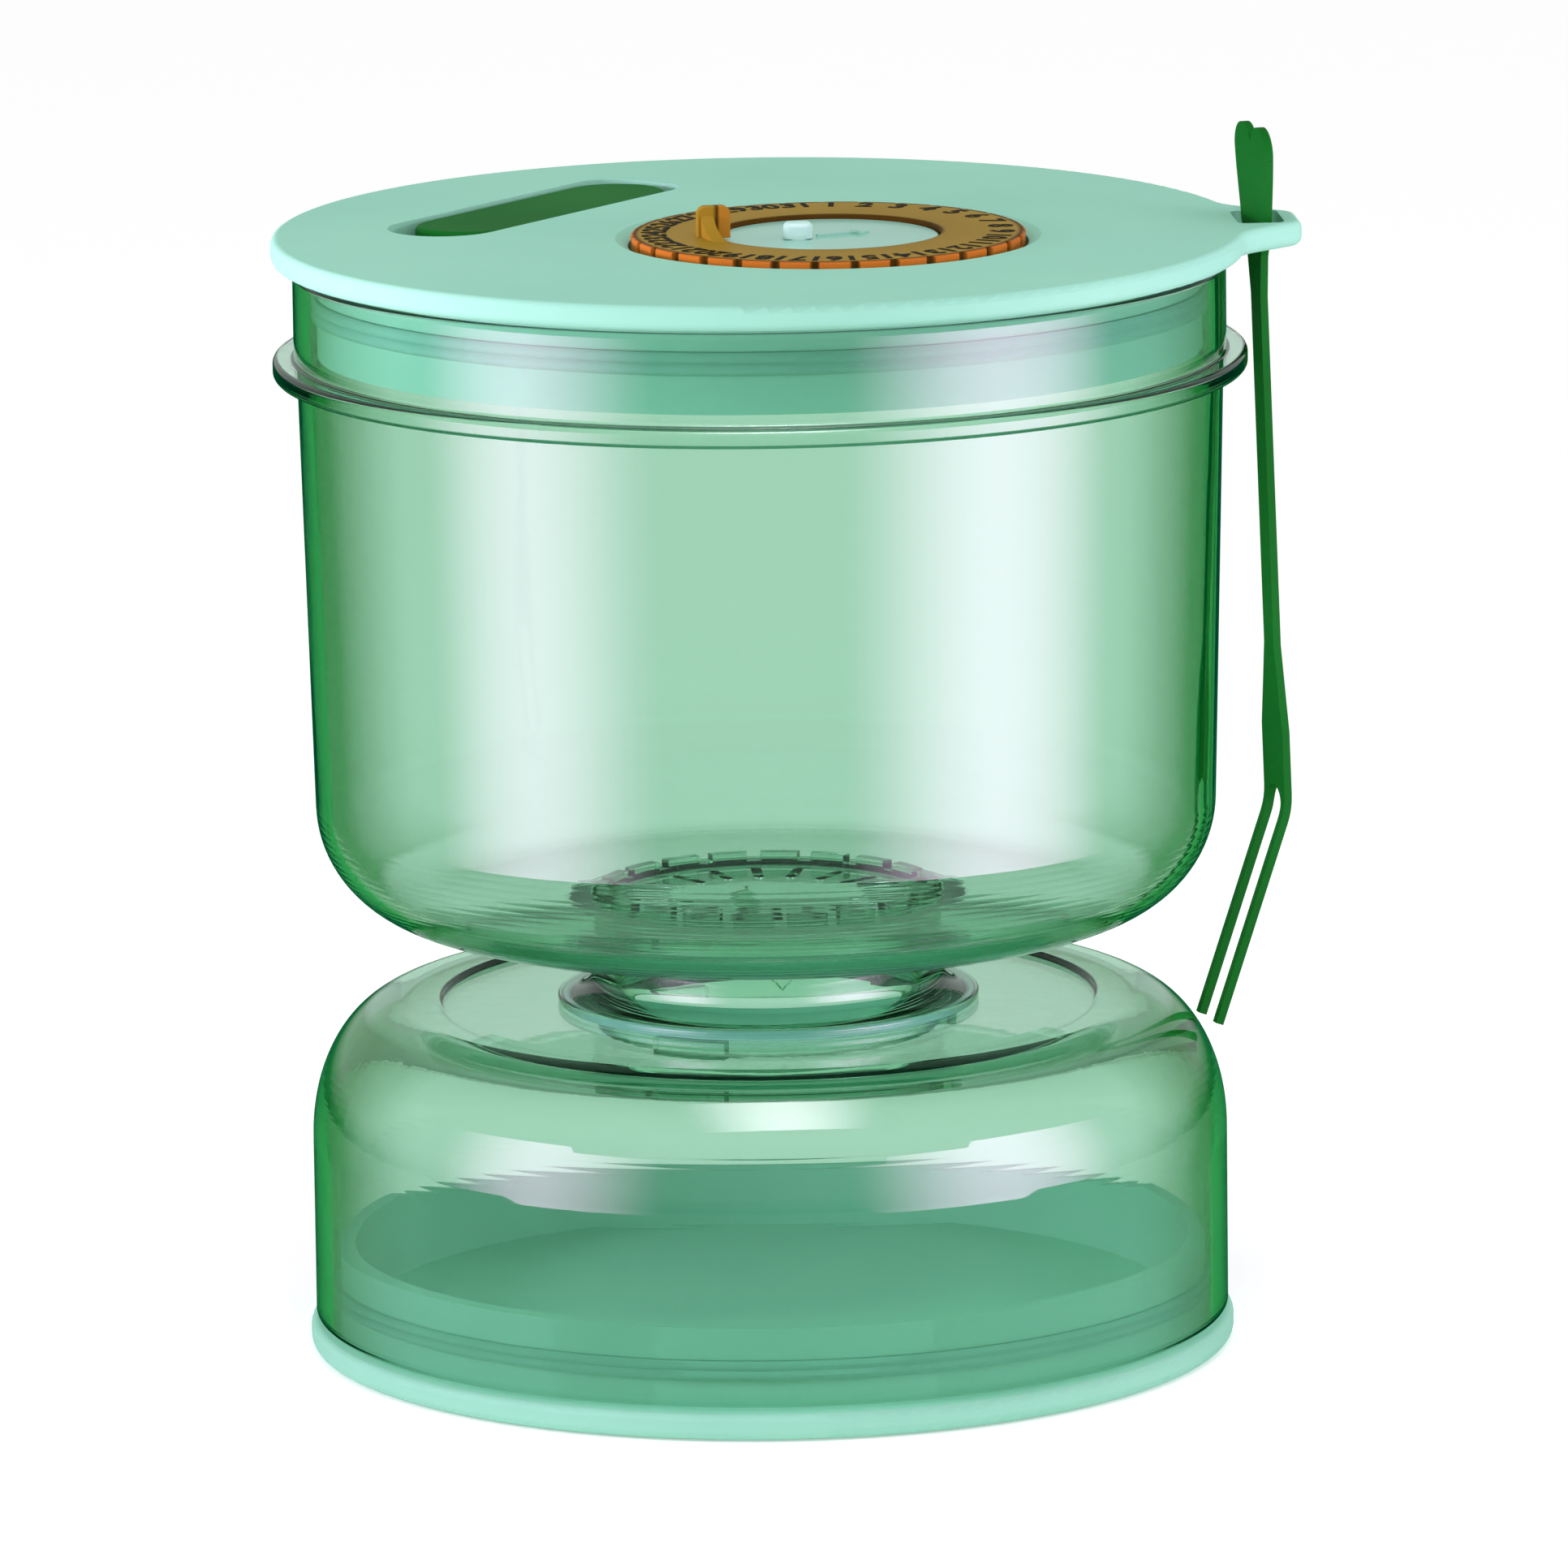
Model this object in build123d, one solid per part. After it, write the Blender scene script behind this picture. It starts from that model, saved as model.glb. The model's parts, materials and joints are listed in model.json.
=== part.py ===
"""Hourglass strainer jar for pickles and olives: two clear chambers joined at a twist-lock neck, closed by a
lid with a date dial above and a cap below, with a fork that hangs from the lid's ear. Millimetres, +Z up,
origin at the centre of the base cap's underside, +X towards the fork ear."""

import math
import os

from build123d import *

# Base cap: a disc to stand on, with a plug skirt and a seal groove.
BASE_R = 59.4
BASE_T = 3.3
BASE_SKIRT_R = 55.7
BASE_SKIRT_WALL = 2.1
BASE_SKIRT_TOP = 13.8
BASE_SEAL_Z = (7.2, 9.7)
BASE_SEAL_LIP_R = 56.4

# Lower chamber: open below, shoulder above, with the neck hole in its top.
LOWER_R = 58.7
LOWER_WALL = 2.0
LOWER_RIM_Z = 4.1
LOWER_TOP_Z = 44.85
SHOULDER_OUT = (11.7, 17.5)
SHOULDER_IN = (10.6, 15.6)
TOP_STEP_R = 42.0
TOP_STEP = 0.8

# Twist-lock neck between the two chambers.
NECK_BORE_R = 20.0
WAIST_R = 22.5
WAIST_FILLET = 3.5
SPIGOT_R = 22.0
SPIGOT_BOTTOM_Z = 39.3
NECK_HOLE_R = 22.3
LUG_R = 24.2
LUG_H = 2.3
LUG_ANGLE = 24.0
NOTCH_R = 24.6
NOTCH_ANGLE = 30.0
LUG_COUNT = 3
UNLOCK_TURN = 60.0
FOOT_R = 27.0
FOOT_BOTTOM_Z = 44.35
FOOT_TOP_Z = 45.35
GASKET_R = (25.0, 26.4)
GASKET_Z = (44.1, 45.0)
MARK_W = 6.0
MARK_Z = (49.9, 53.0)
MARK_PROUD = 0.5

# Upper chamber: rounded floor, slightly tapered wall, a hand ring and a short mouth.
UPPER_BOTTOM_Z = 55.7
UPPER_CORNER = 14.9
UPPER_WALL = 2.0
UPPER_LOW_R = 57.6
UPPER_HIGH_R = 58.9
MOUTH_R = 59.3
MOUTH_IN_R = 57.3
MOUTH_TOP_Z = 139.9
RING_R = 62.0
RING_Z = (126.0, 128.4)

# Strainer in the floor of the upper chamber.
STRAINER_R = 22.1
STRAINER_SEAT_R = 22.4
STRAINER_Z = (55.8, 57.2)
STRAINER_RIM_Z = 58.8
STRAINER_RIM_WALL = 1.5
STRAINER_SLOTS = 20
STRAINER_SLOT = (6.0, 1.3)
STRAINER_SLOT_R = 15.5
STRAINER_NOTCH = (1.8, 1.1)
STRAINER_TAB = (2.6, 1.2, 3.6)
STRAINER_TAB_AT = (-2.6, -11.9)
STRAINER_TAB_LEAN = 32.0

# Lid: plate with a plug skirt, an ear for the fork, a dial seat and a handle recess.
LID_R = 62.0
LID_Z = (140.6, 143.8)
LID_PLATE_Z = 141.4
LID_SKIRT_R = 56.2
LID_SKIRT_WALL = 2.0
LID_SKIRT_Z = 129.5
LID_SEAL_Z = (134.4, 137.4)
LID_SEAL_LIP_R = 57.0
EAR_TIP_X = 69.0
EAR_TIP_W = 9.0
EAR_ROOT_X = 55.0
EAR_ROOT_W = 34.0
EAR_SLOT = (6.0, 10.4)
EAR_SLOT_X = 63.7

# Date dial on the lid, on the far side of the handle recess.
DIAL_ANGLE = -39.0
DIAL_DISTANCE = 10.7
DIAL_SEAT_R = 25.4
DIAL_SEAT_RIM_R = 27.0
DIAL_SEAT_Z = 141.5
DIAL_R = 25.0
DIAL_IN_R = 14.3
DIAL_TOP_Z = 144.35
DIAL_LIP_R = 12.2
DIAL_LIP_Z = 142.55
DAYS = 31
TAB_ANGLE = 185.0
TAB_R = (12.6, 16.9)
TAB_H = 3.9
TAB_T = 1.2
TAB_RAMP_R = 16.4
TAB_RAMP_ANGLE = 27.0
TAB_RAMP_HOLLOW = 10.0
HUB_R = 14.05
HUB_STEM_R = 12.1
HUB_CAP_Z = 142.65
VENT_AT = (-4.0, -1.7)
VENT_STEM_R = 1.42
VENT_HOLE_R = 1.5
VENT_HEAD = (3.7, 2.4, 2.1)

# Fold-flat lift handle in its recess.
SLOT_ANGLE = 141.0
SLOT_DISTANCE = 35.6
SLOT_CENTRES = 37.7
SLOT_R = 7.25
SLOT_END_CORNER = 4.6
SLOT_FLOOR_Z = 139.6
SLOT_DEEP_Z = 137.8
HANDLE_R = 6.8
HANDLE_L = 46.0
HANDLE_Z = (140.2, 143.5)
PIN_R = 1.0
PIN_HOLE_R = 1.06
PIN_L = 16.4
PIN_FROM_TIP = 3.35

# Two-tine fork, a bent plate that hangs in the ear's slot.
FORK_T = 1.0
FORK_TOP = (63.2, 155.9)
FORK_BEND = (66.1, 67.5)
FORK_TIP = (56.6, 40.0)
FORK_BEND_R = 10.0
FORK_TURN = 12.0
TINE_W = 1.4
TINE_SPACING = 6.8
FORK_STEM_W = 3.8
FORK_HEAD_Z = 77.5
TINE_ROOT_Z = 70.0
LOBE_R = 3.2

GAP = 0.05


def turned(points):
    """A solid of revolution about Z from a closed outline of (radius, height) points."""
    return revolve(Plane.XZ * make_face(Polyline(*points, close=True)), Axis.Z)


def at(distance, angle):
    """The point at this distance from the jar's axis, in this direction."""
    turn = math.radians(angle)
    return Vector(distance * math.cos(turn), distance * math.sin(turn))


def tube(outer, inner, bottom, top):
    return turned([(inner, bottom), (outer, bottom), (outer, top), (inner, top)])


def sector(outer, inner, bottom, top, middle, width):
    """A block of a tube, centred on the direction `middle` and `width` degrees wide."""
    block = revolve(Plane.XZ * make_face(Polyline(
        (inner, bottom), (outer, bottom), (outer, top), (inner, top), close=True)), Axis.Z, width)
    return Rot(0, 0, middle - width / 2) * block


def lipped_ring(inner, lip, low, high):
    """A silicone seal: a band with two rounded lips on its outside."""
    band = lip - 0.9
    half = (high - low) / 2
    rings = Solid.make_torus(band, 0.9)
    lips = [Pos(0, 0, low + half * k) * rings for k in (0.5, 1.5)]
    seal = tube(band, inner, low, high) + lips
    return seal & tube(lip + 1, inner, low, high)


def base_cap():
    skirt_in = BASE_SKIRT_R - BASE_SKIRT_WALL
    body = turned([
        (0, 0), (BASE_R, 0), (BASE_R, BASE_T), (BASE_SKIRT_R, BASE_T), (BASE_SKIRT_R, BASE_SKIRT_TOP),
        (skirt_in, BASE_SKIRT_TOP), (skirt_in, BASE_T), (0, BASE_T)])
    rim = body.edges().filter_by(GeomType.CIRCLE).sort_by(lambda e: e.radius)[-2:].sort_by(Axis.Z)
    body = fillet(rim[0], 1.3)
    rim = body.edges().filter_by(GeomType.CIRCLE).sort_by(lambda e: e.radius)[-2:].sort_by(Axis.Z)
    body = fillet(rim[-1], 0.9)
    groove = tube(BASE_R, BASE_SKIRT_R - 1.0, *BASE_SEAL_Z)
    underside = tube(48.0, 30.0, -1.0, 0.8)
    return body - groove - underside


def base_seal():
    return lipped_ring(BASE_SKIRT_R - 1.0 + GAP, BASE_SEAL_LIP_R, BASE_SEAL_Z[0] + GAP, BASE_SEAL_Z[1] - GAP)


def lower_jar():
    inner_r = LOWER_R - LOWER_WALL
    step_z = LOWER_TOP_Z - TOP_STEP
    under_z = step_z - LOWER_WALL
    out_a, out_b = SHOULDER_OUT
    in_a, in_b = SHOULDER_IN
    with BuildLine() as outline:
        Polyline((inner_r, LOWER_RIM_Z), (LOWER_R, LOWER_RIM_Z), (LOWER_R, LOWER_TOP_Z - out_b))
        EllipticalCenterArc((LOWER_R - out_a, LOWER_TOP_Z - out_b), out_a, out_b, 0, arc_size=90)
        Polyline((LOWER_R - out_a, LOWER_TOP_Z), (TOP_STEP_R, LOWER_TOP_Z), (TOP_STEP_R, step_z),
                 (NECK_HOLE_R, step_z), (NECK_HOLE_R, under_z), (inner_r - in_a, under_z))
        EllipticalCenterArc((inner_r - in_a, under_z - in_b), in_a, in_b, 0, arc_size=90)
        Line((inner_r, under_z - in_b), (inner_r, LOWER_RIM_Z))
    jar = revolve(Plane.XZ * make_face(outline.line), Axis.Z)
    for k in range(LUG_COUNT):
        middle = UNLOCK_TURN + k * 360 / LUG_COUNT
        jar -= sector(NOTCH_R, NECK_HOLE_R - 1, under_z - 1, step_z + 1, middle, NOTCH_ANGLE)
    return jar


def neck_gasket():
    return tube(GASKET_R[1] - GAP, GASKET_R[0] + GAP, *GASKET_Z)


def upper_jar():
    low_in = UPPER_LOW_R - UPPER_WALL
    corner_r = UPPER_LOW_R - UPPER_CORNER
    corner_z = UPPER_BOTTOM_Z + UPPER_CORNER
    floor_z = UPPER_BOTTOM_Z + UPPER_WALL
    foot_r = WAIST_R + WAIST_FILLET
    groove_top = GASKET_Z[1] + GAP
    with BuildLine() as outline:
        Polyline((NECK_BORE_R, SPIGOT_BOTTOM_Z), (SPIGOT_R, SPIGOT_BOTTOM_Z), (SPIGOT_R, FOOT_BOTTOM_Z),
                 (GASKET_R[0], FOOT_BOTTOM_Z), (GASKET_R[0], groove_top), (GASKET_R[1], groove_top),
                 (GASKET_R[1], FOOT_BOTTOM_Z), (FOOT_R, FOOT_BOTTOM_Z), (FOOT_R, FOOT_TOP_Z),
                 (foot_r, FOOT_TOP_Z))
        CenterArc((foot_r, FOOT_TOP_Z + WAIST_FILLET), WAIST_FILLET, 180, 90)
        Line((WAIST_R, FOOT_TOP_Z + WAIST_FILLET), (WAIST_R, UPPER_BOTTOM_Z - WAIST_FILLET))
        CenterArc((foot_r, UPPER_BOTTOM_Z - WAIST_FILLET), WAIST_FILLET, 90, 90)
        Line((foot_r, UPPER_BOTTOM_Z), (corner_r, UPPER_BOTTOM_Z))
        CenterArc((corner_r, corner_z), UPPER_CORNER, -90, 90)
        Polyline((UPPER_LOW_R, corner_z), (UPPER_HIGH_R, RING_Z[0]), (RING_R, RING_Z[0]), (RING_R, RING_Z[1]),
                 (MOUTH_R, RING_Z[1]), (MOUTH_R, MOUTH_TOP_Z), (MOUTH_IN_R, MOUTH_TOP_Z), (MOUTH_IN_R, RING_Z[0]),
                 (low_in, corner_z))
        CenterArc((corner_r, corner_z), UPPER_CORNER - UPPER_WALL, -90, 90)
        Polyline((corner_r, floor_z), (STRAINER_SEAT_R, floor_z), (STRAINER_SEAT_R, UPPER_BOTTOM_Z),
                 (NECK_BORE_R, UPPER_BOTTOM_Z), (NECK_BORE_R, SPIGOT_BOTTOM_Z))
    jar = revolve(Plane.XZ * make_face(outline.line), Axis.Z)
    edges = jar.edges().filter_by(GeomType.CIRCLE)
    jar = fillet(edges.filter_by(lambda e: e.radius > RING_R - 0.1), 0.7)
    rim = jar.edges().filter_by(GeomType.CIRCLE).filter_by_position(Axis.Z, MOUTH_TOP_Z - 0.1, MOUTH_TOP_Z + 0.1)
    jar = fillet(rim, 0.7)
    for k in range(LUG_COUNT):
        jar += sector(LUG_R, SPIGOT_R - 0.5, SPIGOT_BOTTOM_Z, SPIGOT_BOTTOM_Z + LUG_H, k * 360 / LUG_COUNT,
                      LUG_ANGLE)
    return jar + lock_mark()


def lock_mark():
    """The moulded arrow on the waist that shows the locked position, pointing down at the lower chamber."""
    arrow = make_face(Polyline((-MARK_W / 2, MARK_Z[1]), (MARK_W / 2, MARK_Z[1]), (0, MARK_Z[0]), close=True))
    block = extrude(Plane.XZ * arrow, WAIST_R + MARK_PROUD)
    sleeve = tube(WAIST_R + MARK_PROUD, WAIST_R - 0.5, MARK_Z[0], MARK_Z[1])
    return block & sleeve


def strainer_disc():
    """A slotted disc with a notched rim that stands above the chamber's floor, and a leaning lifting tab."""
    bottom, top = STRAINER_Z
    cup = tube(STRAINER_R, 0, bottom, top)
    cup += tube(STRAINER_R, STRAINER_R - STRAINER_RIM_WALL, top, STRAINER_RIM_Z)
    length, width = STRAINER_SLOT
    notch_w, notch_h = STRAINER_NOTCH
    for k in range(STRAINER_SLOTS):
        turn = Rot(0, 0, k * 360 / STRAINER_SLOTS)
        cup -= turn * Pos(STRAINER_SLOT_R, 0, bottom) * extrude(SlotOverall(length, width), 5, both=True)
        cup -= turn * Pos(STRAINER_R, 0, STRAINER_RIM_Z) * Box(5, notch_w, 2 * notch_h)
    x, y = STRAINER_TAB_AT
    width, thick, height = STRAINER_TAB
    tab = Pos(x, y, top - 0.2) * Rot(0, -STRAINER_TAB_LEAN, 0) * Pos(0, 0, height / 2) * Box(width, thick, height)
    return cup + tab


def stadium(centres, radius):
    return SlotCenterToCenter(centres, 2 * radius)


def slot_frame():
    """The handle recess's own frame: its origin midway on the lid's top, its X along the recess."""
    middle = at(SLOT_DISTANCE, SLOT_ANGLE)
    return Pos(middle.X, middle.Y, 0) * Rot(0, 0, SLOT_ANGLE - 90)


def handle_recess():
    """What the recess takes out of the lid: a shallow slot with a finger scoop, and a pocket for the tail."""
    top = LID_Z[1] + 1
    hinge_end = SLOT_CENTRES / 2 + SLOT_R
    plan = stadium(SLOT_CENTRES, SLOT_R) + Pos(hinge_end - 12, 0) * RectangleRounded(24, 2 * SLOT_R, SLOT_END_CORNER)
    slot = Pos(0, 0, SLOT_FLOOR_Z) * extrude(plan, top - SLOT_FLOOR_Z)
    tip = -SLOT_CENTRES / 2 - SLOT_R
    ramp = make_face(Polyline(
        (tip - 1, SLOT_FLOOR_Z - 1), (tip + 6.6, SLOT_FLOOR_Z - 1), (tip + 6.6, SLOT_FLOOR_Z),
        (tip + 0.6, LID_Z[1] - 0.4), (tip - 1, LID_Z[1] - 0.4), close=True))
    ramp = extrude(Plane.XZ * ramp, SLOT_R + 1, both=True)
    pocket = Pos(0, 0, SLOT_DEEP_Z) * extrude(plan, top - SLOT_DEEP_Z)
    tail = Pos(SLOT_CENTRES / 2 + 5, 0, SLOT_DEEP_Z) * Box(12, 2 * SLOT_R + 1, 20)
    return (slot - ramp) + (pocket & tail)


def dial_centre():
    return at(DIAL_DISTANCE, DIAL_ANGLE)


def top_lid():
    ear = make_face(Polyline(
        (EAR_ROOT_X, -EAR_ROOT_W / 2), (EAR_TIP_X, -EAR_TIP_W / 2), (EAR_TIP_X, EAR_TIP_W / 2),
        (EAR_ROOT_X, EAR_ROOT_W / 2), close=True))
    plate = Pos(0, 0, LID_Z[0]) * extrude(Circle(LID_R) + ear, LID_Z[1] - LID_Z[0])
    uprights = plate.edges().filter_by(Axis.Z).filter_by(lambda e: e.center().X > 0).sort_by(Axis.X)
    plate = fillet(uprights[-2:], 3.0)
    uprights = plate.edges().filter_by(Axis.Z).filter_by(lambda e: e.center().X > 0).sort_by(Axis.X)
    plate = fillet(uprights[:2], 8.0)
    plate = fillet(plate.faces().sort_by(Axis.Z)[-1].edges(), 0.9)
    plate = fillet(plate.faces().sort_by(Axis.Z)[0].edges(), 1.2)
    slot = Pos(EAR_SLOT_X, 0) * RectangleRounded(*EAR_SLOT, 1.2)
    plate -= Pos(0, 0, LID_Z[0] - 1) * extrude(slot, 6)

    skirt_in = LID_SKIRT_R - LID_SKIRT_WALL
    lid = plate - Pos(0, 0, LID_PLATE_Z - 5) * Cylinder(skirt_in, 10)
    lid += tube(LID_SKIRT_R, skirt_in, LID_SKIRT_Z, LID_Z[0] + 1)
    lid -= tube(LID_R, LID_SKIRT_R - 1.0, *LID_SEAL_Z)

    dial = Pos(dial_centre().X, dial_centre().Y, 0)
    lid += dial * tube(DIAL_SEAT_RIM_R + 1.5, 0, DIAL_SEAT_Z - 2.9, LID_PLATE_Z + 1)
    boss_z = SLOT_DEEP_Z - 1.8
    boss = slot_frame() * Pos(0, 0, boss_z) * extrude(stadium(SLOT_CENTRES, SLOT_R + 2.2), LID_PLATE_Z - boss_z + 1)
    lid += boss
    seat = turned([
        (0, DIAL_SEAT_Z), (DIAL_SEAT_R, DIAL_SEAT_Z), (DIAL_SEAT_R, LID_Z[1] - 0.9), (DIAL_SEAT_RIM_R, LID_Z[1]),
        (DIAL_SEAT_RIM_R, LID_Z[1] + 1), (0, LID_Z[1] + 1)])
    lid -= dial * seat
    lid -= dial * Pos(*VENT_AT, 0) * tube(VENT_HOLE_R, 0, LID_PLATE_Z - 10, LID_Z[1])
    lid -= slot_frame() * handle_recess()
    return lid - pin_shape(PIN_R)


def lid_seal():
    return lipped_ring(LID_SKIRT_R - 1.0 + GAP, LID_SEAL_LIP_R, LID_SEAL_Z[0] + GAP, LID_SEAL_Z[1] - GAP)


def pin_shape(radius):
    along = SLOT_CENTRES / 2 + HANDLE_R - PIN_FROM_TIP
    middle = sum(HANDLE_Z) / 2
    return slot_frame() * Pos(along, 0, middle) * Rot(90, 0, 0) * Cylinder(radius, PIN_L)


def handle_pin():
    return pin_shape(PIN_R)


def lift_handle():
    length = HANDLE_L - 2 * HANDLE_R
    middle = SLOT_CENTRES / 2 - length / 2
    bar = Pos(middle, 0, HANDLE_Z[0]) * extrude(stadium(length, HANDLE_R), HANDLE_Z[1] - HANDLE_Z[0])
    bar = fillet(bar.edges().filter_by(Plane.XY), 0.8)
    return slot_frame() * bar - pin_shape(PIN_HOLE_R)


def dial_hub():
    cap = turned([
        (0, DIAL_SEAT_Z), (HUB_STEM_R, DIAL_SEAT_Z), (HUB_STEM_R, HUB_CAP_Z), (HUB_R, HUB_CAP_Z),
        (HUB_R, LID_Z[1]), (0, LID_Z[1])])
    top_edge = cap.edges().filter_by(GeomType.CIRCLE).filter_by_position(Axis.Z, LID_Z[1] - 0.01, LID_Z[1] + 0.01)
    cap = fillet(top_edge, 0.3)
    arrow = Pos(1.9, 0, 0) * Box(7.0, 0.5, 0.6)
    for side in (-1, 1):
        arrow += Pos(5.4, 0, 0) * Rot(0, 0, 180 + 35 * side) * Pos(1.1, 0, 0) * Box(2.2, 0.5, 0.6)
    arrow = Pos(0, 0, LID_Z[1]) * Rot(0, 0, 20) * arrow
    hub = cap + arrow - Pos(*VENT_AT, 0) * tube(VENT_HOLE_R, 0, DIAL_SEAT_Z - 1, LID_Z[1] + 1)
    return Pos(dial_centre().X, dial_centre().Y, 0) * hub


def vent_plug():
    width, depth, height = VENT_HEAD
    bottom = LID_Z[1] + 0.1
    head = Pos(0, 0, bottom + height / 2) * Box(width, depth, height)
    head = fillet(head.edges().filter_by(Axis.Z) + head.faces().sort_by(Axis.Z)[-1].edges(), 0.8)
    plug = head + tube(VENT_STEM_R, 0, DIAL_SEAT_Z - 3.4, bottom + 0.5)
    return Pos(dial_centre().X, dial_centre().Y, 0) * Pos(*VENT_AT, 0) * plug


def date_ring():
    ring = turned([
        (DIAL_LIP_R, DIAL_SEAT_Z + 0.1), (DIAL_R - 0.3, DIAL_SEAT_Z + 0.1), (DIAL_R, DIAL_LIP_Z),
        (DIAL_R, DIAL_TOP_Z), (DIAL_IN_R, DIAL_TOP_Z), (DIAL_IN_R, DIAL_LIP_Z), (DIAL_LIP_R, DIAL_LIP_Z)])
    top_edges = ring.edges().filter_by(GeomType.CIRCLE).filter_by_position(Axis.Z, DIAL_TOP_Z - 0.01, DIAL_TOP_Z + 0.01)
    ring = fillet(top_edges, 0.35)
    for day in range(DAYS):
        spot = at(DIAL_R + 0.15, (day + 0.5) * 360 / DAYS)
        ring -= Pos(spot.X, spot.Y, DIAL_TOP_Z) * Cylinder(0.7, 3)
    ring += Rot(0, 0, TAB_ANGLE) * finger_tab()
    return Pos(dial_centre().X, dial_centre().Y, 0) * ring


def finger_tab():
    """The tab that turns the ring: an upright radial fin, with a hollow ramp that follows the inner edge."""
    low, high = TAB_R
    foot_z = LID_Z[1] + 0.3
    top_z = DIAL_TOP_Z + TAB_H
    fin = Pos((low + high) / 2, 0, (foot_z + top_z) / 2) * Box(high - low, TAB_T, top_z - foot_z)
    fin = fillet(fin.edges().filter_by(Axis.Y).sort_by(Axis.Z)[-2:], 1.1)
    fin = fillet(fin.faces().sort_by(Axis.Z)[-1].edges(), 0.25)
    ramp = sector(TAB_RAMP_R, DIAL_IN_R + 0.5, DIAL_TOP_Z - 0.4, DIAL_TOP_Z + 3.0, TAB_RAMP_ANGLE / 2, TAB_RAMP_ANGLE)
    hollow = Pos(0, 7.5, DIAL_TOP_Z + TAB_RAMP_HOLLOW - 0.15) * Rot(0, 90, 0) * Cylinder(TAB_RAMP_HOLLOW, 60)
    return fin + (ramp - hollow)


def fork():
    """The bent plate's side view, cut to the outline of a leaf handle, a stem and a two-tine head."""
    top, bend, tip = (Vector(*point) for point in (FORK_TOP, FORK_BEND, FORK_TIP))
    upper = (bend - top).normalized()
    lower = (tip - bend).normalized()
    half_turn = math.radians(upper.get_angle(lower)) / 2
    across_top = Vector(-upper.Y, upper.X) * FORK_T / 2
    across_tip = Vector(-lower.Y, lower.X) * FORK_T / 2
    mitre = (across_top + across_tip).normalized() * (FORK_T / 2 / math.cos(half_turn))
    outer = [top + across_top, bend + mitre, tip + across_tip]
    inner = [top - across_top, bend - mitre, tip - across_tip]
    with BuildLine() as side:
        FilletPolyline(*outer, radius=FORK_BEND_R + FORK_T / 2)
        FilletPolyline(*inner, radius=FORK_BEND_R - FORK_T / 2)
        Line(outer[0], inner[0])
        Line(outer[-1], inner[-1])
    plate = extrude(Plane.XZ * make_face(side.line), 8, both=True)
    plate = plate & extrude(Plane.YZ * fork_front(), 80)
    return Pos(EAR_SLOT_X, 0, 0) * Rot(0, 0, FORK_TURN) * Pos(-EAR_SLOT_X, 0, 0) * plate


def fork_front():
    """The fork's outline seen from the front: X is its width, Y its height."""
    top = FORK_TOP[1]
    lobe_z = top - LOBE_R - 0.2
    half = LOBE_R - 0.2
    head = TINE_SPACING / 2 + TINE_W / 2
    stem = FORK_STEM_W / 2
    ear_z = LID_Z[1]
    right = [(half + LOBE_R - 0.05, lobe_z - 0.8), (5.8, ear_z + 5.5), (4.9, ear_z + 1.0), (4.5, ear_z - 1.0),
             (2.7, ear_z - 4.8), (stem, ear_z - 10), (stem, FORK_HEAD_Z + 11), (0.7 * head, FORK_HEAD_Z + 6),
             (head, FORK_HEAD_Z), (head, FORK_TIP[1] - 2)]
    left = [(-x, y) for x, y in reversed(right)]
    body = make_face(Polyline(*right, *left, close=True))
    lobes = [Pos(side * half, lobe_z) * Circle(LOBE_R) for side in (-1, 1)]
    gap = TINE_SPACING - TINE_W
    gap_top = TINE_ROOT_Z - gap / 2
    slot = Pos(0, gap_top - 20) * Rectangle(gap, 40) + Pos(0, gap_top) * Circle(gap / 2)
    return body + lobes - slot


NODES = {
    "base_cap": base_cap,
    "base_seal": base_seal,
    "lower_jar": lower_jar,
    "neck_gasket": neck_gasket,
    "upper_jar": upper_jar,
    "strainer_disc": strainer_disc,
    "top_lid": top_lid,
    "lid_seal": lid_seal,
    "dial_hub": dial_hub,
    "vent_plug": vent_plug,
    "date_ring": date_ring,
    "lift_handle": lift_handle,
    "handle_pin": handle_pin,
    "fork": fork,
}

os.makedirs("parts", exist_ok=True)
for name, make in NODES.items():
    export_step(make(), f"parts/{name}.step")
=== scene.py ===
"""The looks of the hourglass strainer jar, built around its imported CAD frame. Metres, +Z up."""

import json
import math

import bmesh
import bpy
from mathutils import Matrix, Vector


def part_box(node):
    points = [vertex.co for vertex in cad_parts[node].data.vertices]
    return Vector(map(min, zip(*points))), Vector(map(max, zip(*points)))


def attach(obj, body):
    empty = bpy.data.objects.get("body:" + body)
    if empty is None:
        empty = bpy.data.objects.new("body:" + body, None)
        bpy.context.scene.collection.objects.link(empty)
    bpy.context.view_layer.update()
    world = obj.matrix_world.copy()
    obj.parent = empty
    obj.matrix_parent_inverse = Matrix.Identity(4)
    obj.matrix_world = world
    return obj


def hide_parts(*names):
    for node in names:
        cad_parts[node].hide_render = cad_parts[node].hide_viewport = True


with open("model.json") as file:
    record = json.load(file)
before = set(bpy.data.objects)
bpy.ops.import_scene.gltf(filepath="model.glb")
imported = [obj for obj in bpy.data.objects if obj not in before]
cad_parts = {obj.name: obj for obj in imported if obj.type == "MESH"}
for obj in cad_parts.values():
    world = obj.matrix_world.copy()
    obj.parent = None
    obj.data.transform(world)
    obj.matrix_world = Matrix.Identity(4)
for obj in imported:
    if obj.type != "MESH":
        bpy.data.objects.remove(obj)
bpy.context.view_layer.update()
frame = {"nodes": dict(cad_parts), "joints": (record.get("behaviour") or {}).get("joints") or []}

MM = 0.001

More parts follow.
